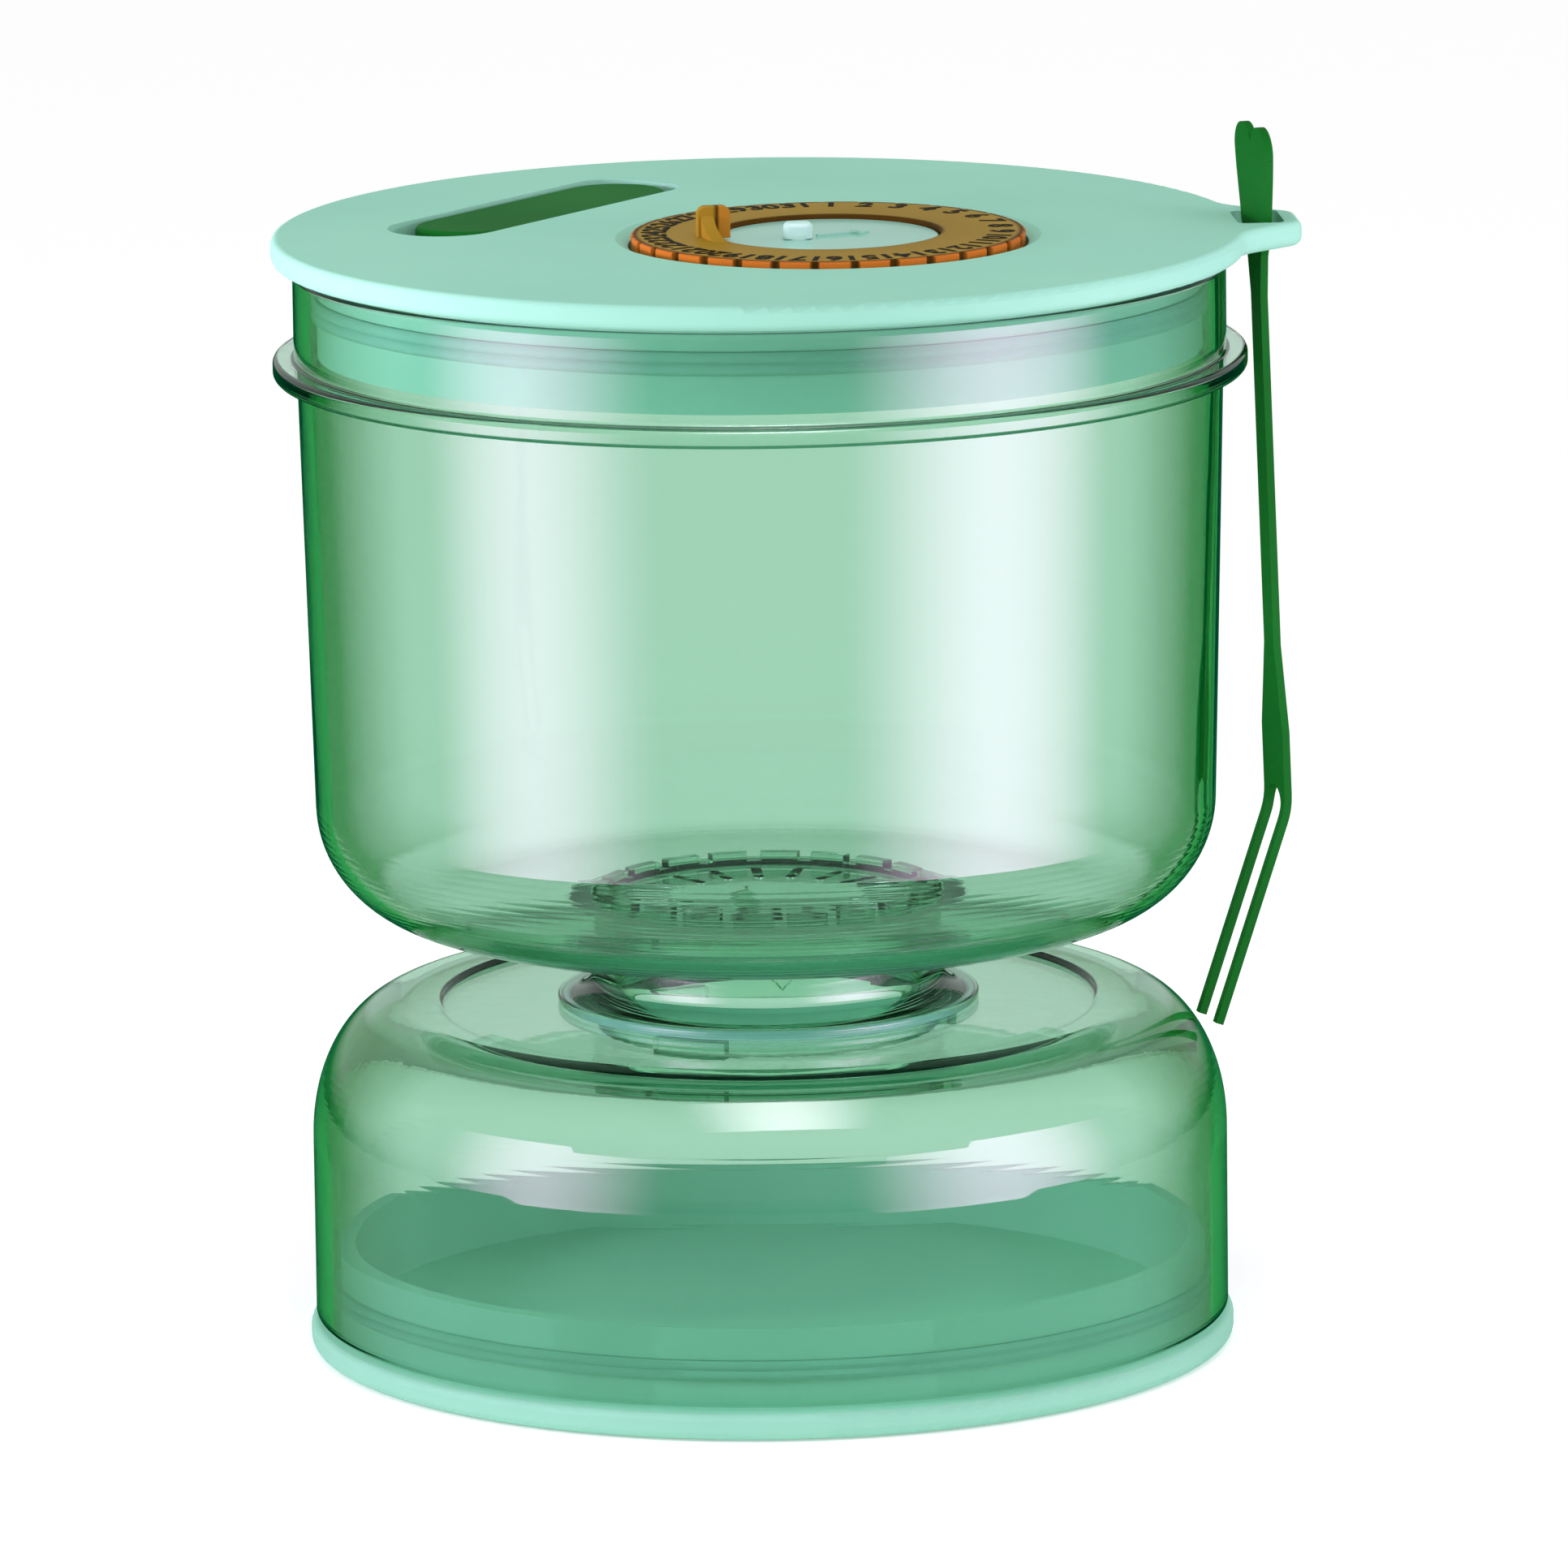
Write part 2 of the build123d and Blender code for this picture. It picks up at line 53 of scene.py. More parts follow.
# The camera, in metres and degrees: in front of the jar, a little above it, with a long lens.
VIEW_AZIMUTH = -4.5
CAMERA_DISTANCE = 1.7565
CAMERA_HEIGHT = 0.4173
CAMERA_REACH = 20
CAMERA_ROLL = 0.75
AIM_HEIGHT = 0.0720
LENS_MM = 321.2
SENSOR_MM = 36
FRAME_SHIFT = 0.01165

# The sky's light at the horizon and overhead, what gloss sees below and above the horizon, and
# half the height of the blend between those two.
SKY = ((0.84, 0.84, 0.84), (0.7, 0.7, 0.7))
SKY_IN_GLOSS = ((0.0, 0.09, 0.035), (0.52, 0.60, 0.56))
HORIZON_BLEND = 0.06

# The floor, in metres. It lies just under the jar, and it glows faintly, as lit paper does.
FLOOR_SIZE = 12
FLOOR_Z = -0.0002
FLOOR_COLOUR = (0.95, 0.95, 0.95, 1)
FLOOR_ROUGHNESS = 0.95
FLOOR_SPECULAR = 0.1
FLOOR_GLOW = 0.26

# The box lights. Azimuths are in degrees from the front towards +X, lengths are in metres. The
# streaks and the glow are only seen in gloss, the fills and the key light are never seen in it.
LIGHTS = (
    dict(name="left_streak", azimuth=-54, distance=0.28, height=0.07, size=(0.34, 0.14),
         radiance=9.3, colour=(1.0, 0.66, 1.0), diffuse=False),
    dict(name="right_streak", azimuth=54, distance=0.28, height=0.07, size=(0.42, 0.14),
         radiance=11.3, colour=(1.0, 0.66, 1.0), diffuse=False),
    dict(name="shoulder_glow", azimuth=5, distance=0.47, height=0.93, size=(0.75, 0.55),
         radiance=12.0, colour=(1.0, 0.85, 1.0), diffuse=False),
    dict(name="left_fill", azimuth=-70, distance=0.40, height=0.17, size=(0.20, 0.08),
         radiance=12.0, colour=(1.0, 0.70, 1.0), beam=75, gloss=False),
    dict(name="right_fill", azimuth=62, distance=0.40, height=0.17, size=(0.20, 0.08),
         radiance=5.5, colour=(1.0, 0.65, 1.0), beam=75, gloss=False),
    dict(name="key_light", azimuth=12, distance=0.47, height=0.95, size=(0.36, 0.25),
         radiance=13.0, colour=(1.0, 0.85, 1.0), gloss=False))

# No light points at a place higher than this, in metres.
LIGHT_AIM_TOP = 0.25

# The moulded plastics' texture: features per metre, and bumps as (strength, distance in metres).
NOISE_ROUGHNESS = 0.55
DRIFT_SCALE = 28
GRAIN_SCALE = 4200
GRAIN_BUMP = (0.08, 0.0001)
MOULDED_IOR = 1.48

# The clear plastic: the share of Z in the normal of a level and of a leaning face, how near to
# grazing sight its rim colour starts and is full, and its slow waves and upright flow lines.
LEVEL_AND_LEANING = (0.98, 0.80)
RIM_START, RIM_FULL = 0.40, 0.75
CLEAR_IOR = 1.49
CLEAR_ROUGHNESS = (0.0, 0.03)
WAVE_SCALE, WAVE_STRETCH, WAVE_BUMP = 35, (1, 1, 0.45), (0.10, 0.0004)
FLOW_SCALE, FLOW_STRETCH, FLOW_BUMP = 420, (1, 1, 0.02), (0.04, 0.0001)

# The clear chambers, in millimetres and degrees, where the frame's boxes don't give them.
WALL = 2.0
SHOULDER_OUT = (11.7, 17.5)
SHOULDER_IN = (10.6, 15.6)
TOP_STEP_R = 42.0
TOP_STEP = 0.8
NECK_HOLE_R = 22.3
NOTCH_R = 24.6
NOTCH_ANGLE = 30.0
FIRST_NOTCH = 60.0
BORE_R = 20.0
WAIST_R = 22.5
WAIST_FILLET = 3.5
SPIGOT_R = 22.0
LUG_R = 24.2
LUG_H = 2.3
LUG_ANGLE = 24.0
FIRST_LUG = 0.0
LUG_COUNT = 3
LUG_ROOT = 0.3
LUG_EDGE = 0.05
FOOT_R = 27.0
FOOT_Z = (44.35, 45.35)
GASKET_GROOVE = (25.0, 26.4, 45.05)
MARK_ANGLE = -90.0
MARK_W = 6.0
MARK_Z = (49.9, 53.0)
MARK_ROOT = 0.1
MARK_PROUD = 0.5
MARK_ROWS = 12
MARK_ROW_STEP = 0.2
MARK_COLUMN_STEP = 0.4
UPPER_FLOOR_Z = 55.7
UPPER_CORNER = 14.9
UPPER_LOW_R = 57.22
UPPER_HIGH_R = 58.9
MOUTH_R = 59.3
RING_Z = (126.0, 128.4)
SEAT_R = 22.4

# How finely the chambers are drawn, in millimetres and degrees.
HOLD = 0.12
LONG_RUN = 8 * HOLD
LARGE_FILLET = 2
LARGE_ARC_STEP, SMALL_ARC_STEP = 4, 18
MIN_ARC_STEPS = 3
ELLIPSE_STEPS = 26
COLUMN_COUNT = 288
EDGE_CLEARANCE = 0.3
EDGE_HALF = 0.08
SHARP_ANGLE = 38

# The date dial's numerals, in millimetres, with the weld in metres.
DAYS = 31
NUMERAL_R = 21.9
NUMERAL_SIZE = 4.3
NUMERAL_BOLD = 0.13
NUMERAL_PROUD = 0.05
NUMERAL_CURVE_STEPS = 3
NUMERAL_SHARP_ANGLE = 20
NUMERAL_WELD = 1e-7
DIAL_FLAT_R = 20

# The ring's colour by its distance from the dial's centre, in millimetres: gold on its top, painted
# shade as dark lines near both edges, where the gaps beside the ring lie in shadow, and a painted
# orange highlight on its side walls. The drift multiplies it.
RING_SHADE_AND_HIGHLIGHT_BANDS = (
    (14.0, (0.42, 0.20, 0.02)), (14.35, (0.03, 0.014, 0.002)), (14.9, (0.33, 0.21, 0.018)),
    (23.9, (0.37, 0.24, 0.025)), (24.5, (0.05, 0.022, 0.003)), (24.95, (0.55, 0.17, 0.02)))
RING_SPAN = 26.0
RING_DRIFT = ((0.8, 0.8, 0.8), (1.0, 1.0, 1.0))


# ---------------------------------------------------------------- node helpers

def new_material(name):
    material = bpy.data.materials.new(name)
    material.use_nodes = True
    tree = material.node_tree
    return material, tree, tree.nodes["Principled BSDF"]


def node(tree, kind, **values):
    made = tree.nodes.new(kind)
    for key, value in values.items():
        setattr(made, key, value)
    return made


def noise(tree, scale, detail=4.0, stretch=(1, 1, 1)):
    """Noise in the row frame, with scale in features per metre."""
    place = node(tree, "ShaderNodeTexCoord")
    mapping = node(tree, "ShaderNodeMapping")
    mapping.inputs["Scale"].default_value = stretch
    texture = node(tree, "ShaderNodeTexNoise")
    texture.inputs["Scale"].default_value = scale
    texture.inputs["Detail"].default_value = detail
    texture.inputs["Roughness"].default_value = NOISE_ROUGHNESS
    tree.links.new(place.outputs["Object"], mapping.inputs["Vector"])
    tree.links.new(mapping.outputs["Vector"], texture.inputs["Vector"])
    return texture.outputs["Fac"]


def ramp(tree, factor, low, high, start=0.35, end=0.65):
    """The colour low up to the factor start, the colour high from end on, and a blend between."""
    made = node(tree, "ShaderNodeValToRGB")
    made.color_ramp.elements[0].position = start
    made.color_ramp.elements[0].color = (*low, 1)
    made.color_ramp.elements[1].position = end
    made.color_ramp.elements[1].color = (*high, 1)
    tree.links.new(factor, made.inputs["Fac"])
    return made.outputs["Color"]


def spread(tree, factor, low, high, start=0.0, end=1.0):
    """The number low at the factor start, the number high at end, and a straight run between."""
    made = node(tree, "ShaderNodeMapRange")
    made.inputs["From Min"].default_value = start
    made.inputs["From Max"].default_value = end
    made.inputs["To Min"].default_value = low
    made.inputs["To Max"].default_value = high
    tree.links.new(factor, made.inputs["Value"])
    return made.outputs["Result"]


def uprightness(tree):
    """1 where a face stands upright or leans, down to 0 where it lies level."""
    place = node(tree, "ShaderNodeNewGeometry")
    split = node(tree, "ShaderNodeSeparateXYZ")
    size = node(tree, "ShaderNodeMath", operation="ABSOLUTE")
    tree.links.new(place.outputs["Normal"], split.inputs["Vector"])
    tree.links.new(split.outputs["Z"], size.inputs[0])
    return spread(tree, size.outputs["Value"], 0.0, 1.0, *LEVEL_AND_LEANING)


def bump(tree, shader, *layers):
    """Bumps stacked on the shader's normal: each layer is (height, strength, distance)."""
    below = None
    for height, strength, distance in layers:
        made = node(tree, "ShaderNodeBump")
        made.inputs["Strength"].default_value = strength
        made.inputs["Distance"].default_value = distance
        tree.links.new(height, made.inputs["Height"])
        if below:
            tree.links.new(below, made.inputs["Normal"])
        below = made.outputs["Normal"]
    tree.links.new(below, shader.inputs["Normal"])


# ---------------------------------------------------------------- materials

def moulded(name, low, high, rough=(0.4, 0.5), specular=0.5):
    """Opaque moulded plastic: its colour drifts slowly between low and high, its roughness goes
    from one end of rough to the other with a fine grain, and the grain shows as a faint texture."""
    material, tree, shader = new_material(name)
    tree.links.new(ramp(tree, noise(tree, DRIFT_SCALE), low, high), shader.inputs["Base Color"])
    grain = noise(tree, GRAIN_SCALE, detail=2)
    tree.links.new(spread(tree, grain, *rough), shader.inputs["Roughness"])
    bump(tree, shader, (grain, *GRAIN_BUMP))
    shader.inputs["IOR"].default_value = MOULDED_IOR
    shader.inputs["Specular IOR Level"].default_value = specular
    return material


def ring_gold(name, centre):
    """Gold-brown plastic. Dark lines at the ring's edges are painted shade, and the orange on its
    side walls is a painted highlight.
    """
    material = moulded(name, *RING_DRIFT, specular=0.03)
    tree = material.node_tree
    shader = tree.nodes["Principled BSDF"]
    drift = shader.inputs["Base Color"].links[0].from_socket
    place = node(tree, "ShaderNodeTexCoord")
    flat = node(tree, "ShaderNodeVectorMath", operation="MULTIPLY")
    flat.inputs[1].default_value = (1, 1, 0)
    reach = node(tree, "ShaderNodeVectorMath", operation="DISTANCE")
    reach.inputs[1].default_value = (centre.x, centre.y, 0)
    tree.links.new(place.outputs["Object"], flat.inputs[0])
    tree.links.new(flat.outputs["Vector"], reach.inputs[0])
    share = spread(tree, reach.outputs["Value"], 0.0, 1.0, 0.0, RING_SPAN * MM)
    # Painted shade: the dark bands near the ring's edges. Painted highlight: the orange on its side
    # walls.
    painted_bands = node(tree, "ShaderNodeValToRGB")
    stops = painted_bands.color_ramp.elements
    while len(stops) < len(RING_SHADE_AND_HIGHLIGHT_BANDS):
        stops.new(0.5)
    for stop, (distance, colour) in zip(stops, RING_SHADE_AND_HIGHLIGHT_BANDS):
        stop.position = distance / RING_SPAN
        stop.color = (*colour, 1)
    both = node(tree, "ShaderNodeVectorMath", operation="MULTIPLY")
    tree.links.new(share, painted_bands.inputs["Fac"])
    tree.links.new(painted_bands.outputs["Color"], both.inputs[0])
    tree.links.new(drift, both.inputs[1])
    tree.links.new(both.outputs["Vector"], shader.inputs["Base Color"])
    return material


def clear_plastic(name, tint, density, face, rim):
    """Clear plastic. Its colour is partly on its faces, from face to the darker rim at the grazing
    sides of an upright wall, and partly the tint in its depth. The lamps shine through it."""
    material, tree, shader = new_material(name)
    edge = node(tree, "ShaderNodeMath", operation="MULTIPLY")
    weight = node(tree, "ShaderNodeLayerWeight")
    tree.links.new(weight.outputs["Facing"], edge.inputs[0])
    tree.links.new(uprightness(tree), edge.inputs[1])
    colour = ramp(tree, edge.outputs["Value"], face, rim, RIM_START, RIM_FULL)
    tree.links.new(colour, shader.inputs["Base Color"])
    shader.inputs["Transmission Weight"].default_value = 1.0
    shader.inputs["IOR"].default_value = CLEAR_IOR
    wave = noise(tree, WAVE_SCALE, detail=3, stretch=WAVE_STRETCH)
    flow = noise(tree, FLOW_SCALE, detail=2, stretch=FLOW_STRETCH)
    tree.links.new(spread(tree, wave, *CLEAR_ROUGHNESS), shader.inputs["Roughness"])
    bump(tree, shader, (wave, *WAVE_BUMP), (flow, *FLOW_BUMP))
    absorb = node(tree, "ShaderNodeVolumeAbsorption")
    absorb.inputs["Color"].default_value = (*tint, 1)
    absorb.inputs["Density"].default_value = density
    path = node(tree, "ShaderNodeLightPath")
    through = node(tree, "ShaderNodeBsdfTransparent")
    mix = node(tree, "ShaderNodeMixShader")
    output = tree.nodes["Material Output"]
    tree.links.new(path.outputs["Is Shadow Ray"], mix.inputs["Fac"])
    tree.links.new(shader.outputs["BSDF"], mix.inputs[1])
    tree.links.new(through.outputs["BSDF"], mix.inputs[2])
    tree.links.new(mix.outputs["Shader"], output.inputs["Surface"])
    tree.links.new(absorb.outputs["Volume"], output.inputs["Volume"])
    return material


# ---------------------------------------------------------------- the camera, stage and lights

def place_camera():
    data = bpy.data.cameras.new("camera")
    data.lens = LENS_MM
    data.sensor_width = SENSOR_MM
    data.shift_x = FRAME_SHIFT
    data.clip_end = CAMERA_REACH
    camera = bpy.data.objects.new("camera", data)
    turn = Matrix.Rotation(math.radians(VIEW_AZIMUTH), 4, "Z")
    camera.location = turn @ Vector((0, -CAMERA_DISTANCE, CAMERA_HEIGHT))
    aim = Vector((0, 0, AIM_HEIGHT)) - camera.location
    look = aim.to_track_quat("-Z", "Y").to_matrix().to_4x4()
    roll = Matrix.Rotation(math.radians(-CAMERA_ROLL), 4, "Z")
    camera.matrix_world = Matrix.Translation(camera.location) @ look @ roll
    bpy.context.scene.collection.objects.link(camera)
    bpy.context.scene.camera = camera


def stage_floor():
    """A plain pale floor that gloss doesn't see."""
    bpy.ops.mesh.primitive_plane_add(size=FLOOR_SIZE, location=(0, 0, FLOOR_Z))
    floor = bpy.context.object
    floor.name = "floor"
    material, tree, shader = new_material("floor_paper")
    shader.inputs["Base Color"].default_value = FLOOR_COLOUR
    shader.inputs["Roughness"].default_value = FLOOR_ROUGHNESS
    shader.inputs["Specular IOR Level"].default_value = FLOOR_SPECULAR
    shader.inputs["Emission Color"].default_value = (1, 1, 1, 1)
    shader.inputs["Emission Strength"].default_value = FLOOR_GLOW
    floor.data.materials.append(material)
    floor.visible_glossy = False


def softbox(name, azimuth, distance, height, size, radiance, colour, beam=180, diffuse=True,
            gloss=True):
    """A box light that faces the jar's axis: straight across, or down to LIGHT_AIM_TOP from above
    that height. The camera doesn't see it, and the clear plastic doesn't refract it."""
    data = bpy.data.lights.new(name, "AREA")
    data.shape = "RECTANGLE"
    data.size, data.size_y = size
    data.color = colour
    data.energy = radiance * math.pi * size[0] * size[1]
    data.spread = math.radians(beam)
    light = bpy.data.objects.new(name, data)
    turn = math.radians(VIEW_AZIMUTH + azimuth)
    light.location = (distance * math.sin(turn), -distance * math.cos(turn), height)
    facing = Vector((0, 0, min(height, LIGHT_AIM_TOP))) - light.location
    light.rotation_euler = facing.to_track_quat("-Z", "Y").to_euler()
    light.visible_camera = False
    light.visible_diffuse = diffuse
    light.visible_glossy = gloss
    light.visible_transmission = False
    fade_sides(data)
    bpy.context.scene.collection.objects.link(light)


def fade_sides(data):
    """Dims a box light from its middle to nothing at its left and right sides."""
    data.use_nodes = True
    tree = data.node_tree
    place = node(tree, "ShaderNodeNewGeometry")
    split = node(tree, "ShaderNodeSeparateXYZ")
    fade = node(tree, "ShaderNodeValToRGB")
    fade.color_ramp.interpolation = "EASE"
    for side in fade.color_ramp.elements:
        side.color = (0, 0, 0, 1)
    middle = fade.color_ramp.elements.new(0.5)
    middle.color = (1, 1, 1, 1)
    tree.links.new(place.outputs["Parametric"], split.inputs["Vector"])
    tree.links.new(split.outputs["X"], fade.inputs["Fac"])
    tree.links.new(fade.outputs["Color"], tree.nodes["Emission"].inputs["Strength"])


def studio_sky():
    """A white sky that dims towards its top. Below the horizon, gloss sees the room's dark side."""
    world = bpy.data.worlds.new("studio")
    world.use_nodes = True
    tree = world.node_tree
    place = node(tree, "ShaderNodeTexCoord")
    split = node(tree, "ShaderNodeSeparateXYZ")
    path = node(tree, "ShaderNodeLightPath")
    choice = node(tree, "ShaderNodeMix", data_type="RGBA")
    background = tree.nodes["Background"]
    tree.links.new(place.outputs["Generated"], split.inputs["Vector"])
    tree.links.new(path.outputs["Is Glossy Ray"], choice.inputs["Factor"])
    tree.links.new(ramp(tree, split.outputs["Z"], *SKY, 0.0, 1.0), choice.inputs["A"])
    height = spread(tree, split.outputs["Z"], 0.0, 1.0, -HORIZON_BLEND, HORIZON_BLEND)
    tree.links.new(ramp(tree, height, *SKY_IN_GLOSS, 0.0, 1.0), choice.inputs["B"])
    tree.links.new(choice.outputs["Result"], background.inputs["Color"])
    bpy.context.scene.world = world


def light_stage():
    studio_sky()
    for light in LIGHTS:
        softbox(**light)
    bpy.context.scene.view_settings.view_transform = "Standard"


# ---------------------------------------------------------------- meshes

def rounded(corners):
    """A closed outline from (radius, height, fillet) corners. Each fillet is an arc, and each long
    run's ends have a point close by, so that smooth shading keeps the run straight."""
    outline = []
    for k, (r, z, fillet) in enumerate(corners):
        corner = Vector((r, z))
        back = (Vector(corners[k - 1][:2]) - corner).normalized()
        ahead = (Vector(corners[(k + 1) % len(corners)][:2]) - corner).normalized()
        if fillet:
            outline += fillet_arc(corner, back, ahead, fillet)
        else:
            outline.append(corner)
    held = []
    for start, end in zip(outline, outline[1:] + outline[:1]):
        held.append(start)
        run = end - start
        if run.length > LONG_RUN:
            held.append(start + run.normalized() * HOLD)
            held.append(end - run.normalized() * HOLD)
    return held


def fillet_arc(corner, back, ahead, fillet):
    """The points of the arc that rounds a corner between the directions back and ahead."""
    turn = math.pi - back.angle(ahead)
    reach = fillet * math.tan(turn / 2)
    centre = corner + (back + ahead).normalized() * (fillet / math.cos(turn / 2))
    first = corner + back * reach - centre
    last = corner + ahead * reach - centre
    start = math.atan2(first.y, first.x)
    sweep = (math.atan2(last.y, last.x) - start + math.pi) % (2 * math.pi) - math.pi
    step = LARGE_ARC_STEP if fillet > LARGE_FILLET else SMALL_ARC_STEP
    steps = max(MIN_ARC_STEPS, math.ceil(math.degrees(turn) / step))
    angles = [start + sweep * k / steps for k in range(steps + 1)]
    return [centre + Vector((math.cos(a), math.sin(a))) * fillet for a in angles]


def ellipse_quarter(centre, reach):
    """A quarter of an ellipse about (radius, height), from its outermost point to its top."""
    angles = [math.radians(90 * k / ELLIPSE_STEPS) for k in range(ELLIPSE_STEPS + 1)]
    return [(centre[0] + reach[0] * math.cos(a), centre[1] + reach[1] * math.sin(a), 0)
            for a in angles]


def apart(angle, other):
    """The angle between two directions, 0 to 180 degrees."""
    return abs((angle - other + 180) % 360 - 180)


def at_any(angle, first, width):
    """Whether an angle is within one of the evenly spaced lugs or notches, the first at first."""
    middles = [first + 360 * k / LUG_COUNT for k in range(LUG_COUNT)]
    return any(apart(angle, middle) < width / 2 for middle in middles)


def edges_of(first, width):
    """The angles of both edges of each lug or notch."""
    return [first + 360 * k / LUG_COUNT + side * width / 2
            for k in range(LUG_COUNT) for side in (-1, 1)]


def columns(edges, dense=None):
    """The angles of a lathed body's columns: evenly spread, with a close pair at each edge of a lug
    or notch, and with more of them where dense gives (low, high, step)."""
    angles = {round(360 * k / COLUMN_COUNT, 3) for k in range(COLUMN_COUNT)}
    for edge in edges:
        angles = {a for a in angles if apart(a, edge) > EDGE_CLEARANCE}
        angles |= {(edge - EDGE_HALF) % 360, (edge + EDGE_HALF) % 360}
    if dense:
        low, high, step = dense
        angles |= {(low + step * k) % 360 for k in range(round((high - low) / step) + 1)}
    return sorted(angles)


def lathe(name, outline, angles, reshape):
    """A closed body turned about Z from an outline in millimetres. At each angle, reshape may move
    the outline's points."""
    made = bmesh.new()
    grid = []
    for angle in angles:
        turn = math.radians(angle)
        column = []
        for r, z in outline:
            r, z = reshape(r, z, angle)
            place = (r * math.cos(turn) * MM, r * math.sin(turn) * MM, z * MM)
            column.append(made.verts.new(place))
        grid.append(column)
    for here, beside in zip(grid, grid[1:] + grid[:1]):
        for k in range(len(outline)):
            made.faces.new((here[k], beside[k], beside[k - 1], here[k - 1]))
    bmesh.ops.recalc_face_normals(made, faces=made.faces)
    return finished(name, made, SHARP_ANGLE)


def finished(name, made, sharp):
    """An object with the made mesh, smooth except at edges that turn by more than sharp degrees."""
    mesh = bpy.data.meshes.new(name)
    made.to_mesh(mesh)
    made.free()
    mesh.shade_smooth()
    mesh.set_sharp_from_angle(angle=math.radians(sharp))
    obj = bpy.data.objects.new(name, mesh)
    bpy.context.scene.collection.objects.link(obj)
    return obj


def low_and_high(node_name):
    """A node's lowest and highest corners, in millimetres."""
    low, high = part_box(node_name)
    return low / MM, high / MM


# ---------------------------------------------------------------- the clear chambers

def lower_chamber_mesh():
    """The lower chamber: its open rim, wall and shoulder, and the neck hole with its notches."""
    low, high = low_and_high("lower_jar")
    out_r = high.x
    in_r = out_r - WALL
    top = high.z
    step_z = top - TOP_STEP
    under_z = step_z - WALL
    (out_a, out_b), (in_a, in_b) = SHOULDER_OUT, SHOULDER_IN
    outside = ellipse_quarter((out_r - out_a, top - out_b), (out_a, out_b))
    inside = ellipse_quarter((in_r - in_a, under_z - in_b), (in_a, in_b))
    outline = rounded([
        (in_r, low.z, 0.5), (out_r, low.z, 0.5), *outside, (TOP_STEP_R, top, 0.25),
        (TOP_STEP_R, step_z, 0.25), (NECK_HOLE_R, step_z, 0.3), (NECK_HOLE_R, under_z, 0.3),
        *reversed(inside)])

    def notched(r, z, angle):
        if at_any(angle, FIRST_NOTCH, NOTCH_ANGLE) and r < NOTCH_R:
            return r + NOTCH_R - NECK_HOLE_R, z
        return r, z

    angles = columns(edges_of(FIRST_NOTCH, NOTCH_ANGLE))
    return lathe("lower_chamber_shell", outline, angles, notched)


def upper_chamber_mesh():
    """The upper chamber: its spigot with lugs, foot, waist with the arrow mark, wall, hand ring and
    mouth, then down the inside to the strainer's seat and the bore."""
    low, high = low_and_high("upper_jar")
    floor_in = UPPER_FLOOR_Z + WALL
    groove_in, groove_out, groove_top = GASKET_GROOVE
    foot_low, foot_high = FOOT_Z
    mark_low, mark_high = MARK_Z
    lug_top = low.z + LUG_H
    mark_rows = [(WAIST_R, mark_low - MARK_ROW_STEP + MARK_ROW_STEP * k, 0)
                 for k in range(MARK_ROWS)]
    outline = rounded([
        (BORE_R, low.z, 0.3), (SPIGOT_R, low.z, 0.2), (SPIGOT_R, lug_top - LUG_EDGE, 0),
        (SPIGOT_R, lug_top, 0), (SPIGOT_R, foot_low, 0.2), (groove_in, foot_low, 0.1),
        (groove_in, groove_top, 0.1), (groove_out, groove_top, 0.1), (groove_out, foot_low, 0.1),
        (FOOT_R, foot_low, 0.2), (FOOT_R, foot_high, 0.35), (WAIST_R, foot_high, WAIST_FILLET),
        *mark_rows, (WAIST_R, UPPER_FLOOR_Z, WAIST_FILLET),
        (UPPER_LOW_R, UPPER_FLOOR_Z, UPPER_CORNER), (UPPER_HIGH_R, RING_Z[0], 0.4),
        (high.x, RING_Z[0], 0.7), (high.x, RING_Z[1], 0.7), (MOUTH_R, RING_Z[1], 0.4),
        (MOUTH_R, high.z, 0.7), (MOUTH_R - WALL, high.z, 0.7), (MOUTH_R - WALL, RING_Z[0], 1.2),
        (UPPER_LOW_R - WALL, floor_in, UPPER_CORNER - WALL), (SEAT_R, floor_in, 0.4),
        (SEAT_R, UPPER_FLOOR_Z, 0.3), (BORE_R, UPPER_FLOOR_Z, 0.4)])

    def lugged(r, z, angle):
        lug_skin = r > SPIGOT_R - LUG_ROOT and z < lug_top - LUG_EDGE / 2
        if lug_skin and at_any(angle, FIRST_LUG, LUG_ANGLE):
            return r + LUG_R - SPIGOT_R, z
        waist_skin = WAIST_R - MARK_ROOT < r < WAIST_R + MARK_PROUD
        across = apart(angle, MARK_ANGLE) * math.pi / 180 * WAIST_R
        share = (z - mark_low) / (mark_high - mark_low)
        if waist_skin and 0 <= share <= 1 and across < share * MARK_W / 2:
            return WAIST_R + MARK_PROUD, z
        return r, z

    mark_half = MARK_W / 2 / WAIST_R * 180 / math.pi + MARK_COLUMN_STEP
    dense = (MARK_ANGLE - mark_half, MARK_ANGLE + mark_half, MARK_COLUMN_STEP)
    angles = columns(edges_of(FIRST_LUG, LUG_ANGLE), dense)
    return lathe("upper_chamber_shell", outline, angles, lugged)


# ---------------------------------------------------------------- the date dial's numerals

def joint_anchor(name):
    """The point that a joint turns about, in the row frame."""
    joint = next(j for j in frame["joints"] if j["name"] == name)
    return Vector(joint["pos_m"])


def dial_top(centre):
    """The height of the ring's flat top, away from its finger tab."""
    ring = frame["nodes"]["date_ring"].data.vertices
    return max(v.co.z for v in ring if (v.co.xy - centre.xy).length > DIAL_FLAT_R * MM)


def numeral_mesh(day):
    """A day's number as a thin flat mesh about its own middle."""
    letters = bpy.data.curves.new("numeral", "FONT")
    letters.body = str(day)
    letters.align_x = "CENTER"
    letters.align_y = "CENTER"
    letters.size = NUMERAL_SIZE * MM
    letters.extrude = NUMERAL_PROUD * MM
    letters.offset = NUMERAL_BOLD * MM
    letters.resolution_u = NUMERAL_CURVE_STEPS
    holder = bpy.data.objects.new("numeral", letters)
    mesh = bpy.data.meshes.new_from_object(holder)
    bpy.data.objects.remove(holder)
    return mesh


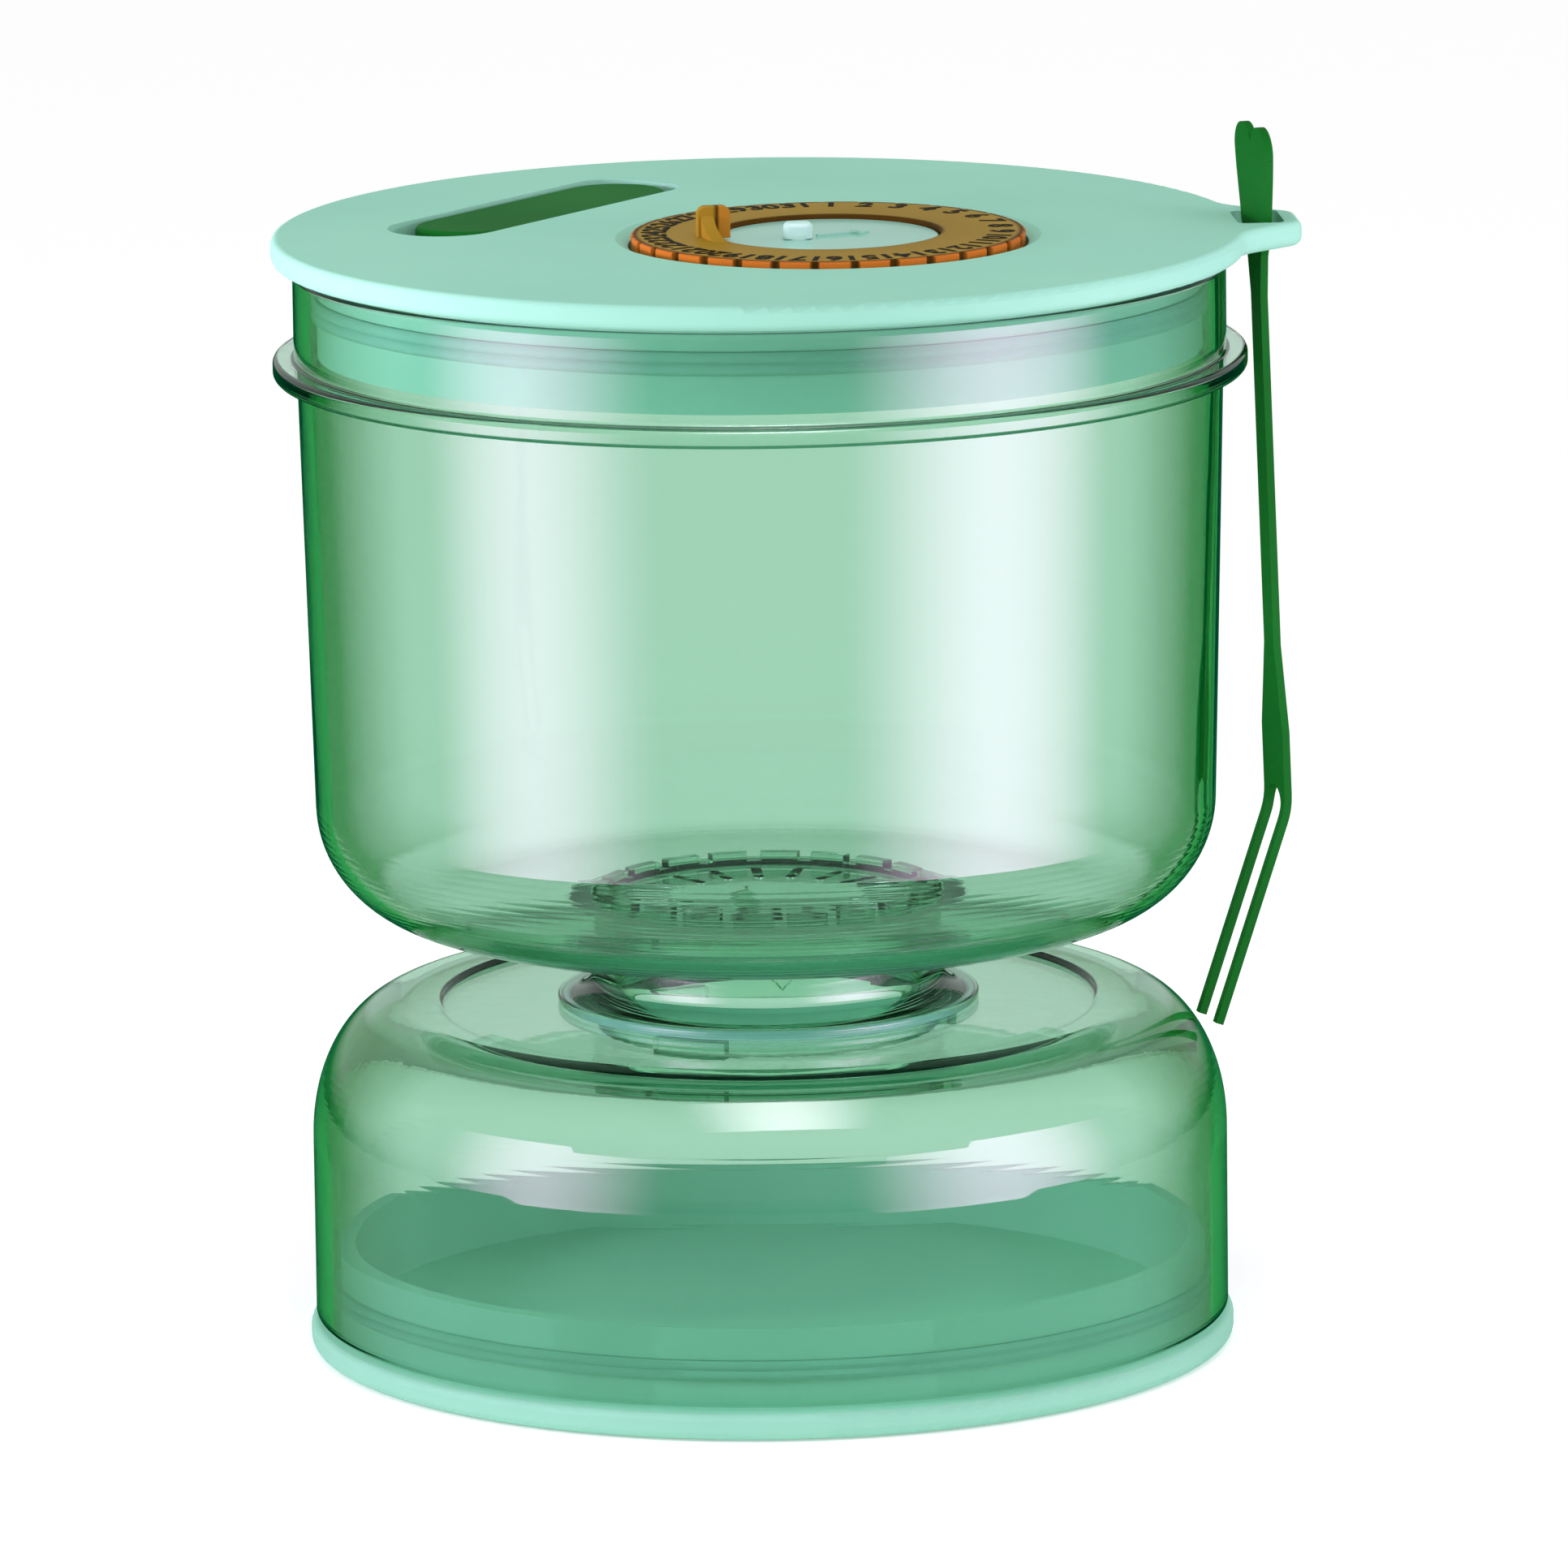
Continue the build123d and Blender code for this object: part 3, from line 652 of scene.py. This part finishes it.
def dial_numerals(material):
    """The days 1 to 31 around the ring, tops outwards, as one thin printed piece."""
    centre = joint_anchor("dial_turn")
    top = dial_top(centre)
    made = bmesh.new()
    for day in range(DAYS):
        before = len(made.verts)
        made.from_mesh(numeral_mesh(day + 1))
        made.verts.ensure_lookup_table()
        turn = -math.radians(360 * (day + 0.5) / DAYS)
        place = Matrix.Translation((centre.x, centre.y, top)) @ Matrix.Rotation(turn, 4, "Z")
        place = place @ Matrix.Translation((0, NUMERAL_R * MM, 0))
        bmesh.ops.transform(made, matrix=place, verts=made.verts[before:])
    bmesh.ops.remove_doubles(made, verts=made.verts, dist=NUMERAL_WELD)
    piece = finished("dial_numerals", made, NUMERAL_SHARP_ANGLE)
    piece.data.materials.append(material)
    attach(piece, "dial")


# ---------------------------------------------------------------- the pieces and their materials

def paint(name, material):
    """Puts a material on a CAD node."""
    obj = frame["nodes"][name]
    obj.data.materials.clear()
    obj.data.materials.append(material)


def dress(piece, node_name, body, material):
    """Puts a piece in a CAD node's place."""
    piece.data.materials.clear()
    piece.data.materials.append(material)
    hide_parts(node_name)
    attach(piece, body)


def dress_nodes():
    mint = moulded("mint_plastic", (0.28, 0.635, 0.475), (0.30, 0.665, 0.495),
                   rough=(0.5, 0.65), specular=0.1)
    clear = clear_plastic("clear_plastic", tint=(0.056, 0.696, 0.322), density=60,
                          face=(0.66, 0.84, 0.74), rim=(0.006, 0.25, 0.02))
    seal = moulded("seal_silicone", (0.22, 0.53, 0.41), (0.24, 0.56, 0.44),
                   rough=(0.45, 0.6), specular=0.1)
    gasket = moulded("gasket_silicone", (0.20, 0.48, 0.42), (0.24, 0.52, 0.46), rough=(0.45, 0.6))
    hub = moulded("hub_plastic", (0.27, 0.59, 0.46), (0.30, 0.62, 0.49),
                  rough=(0.12, 0.2), specular=0.25)
    vent = moulded("vent_silicone", (0.42, 0.70, 0.60), (0.46, 0.74, 0.64))
    gold_with_painted_light = ring_gold("dial_gold", joint_anchor("dial_turn"))
    green = moulded("green_plastic", (0.005, 0.12, 0.012), (0.007, 0.15, 0.017), specular=0.02)
    ink = moulded("numeral_ink", (0.006, 0.004, 0.002), (0.010, 0.007, 0.003),
                  rough=(0.4, 0.55), specular=0.02)
    painted = {
        "base_cap": mint, "top_lid": mint, "strainer_disc": clear, "base_seal": seal,
        "lid_seal": seal, "neck_gasket": gasket, "dial_hub": hub, "vent_plug": vent,
        "date_ring": gold_with_painted_light, "lift_handle": green, "handle_pin": green, "fork": green}
    for name, material in painted.items():
        paint(name, material)
    dress(lower_chamber_mesh(), "lower_jar", "lower_chamber", clear)
    dress(upper_chamber_mesh(), "upper_jar", "upper_chamber", clear)
    dial_numerals(ink)


place_camera()
stage_floor()
light_stage()
dress_nodes()
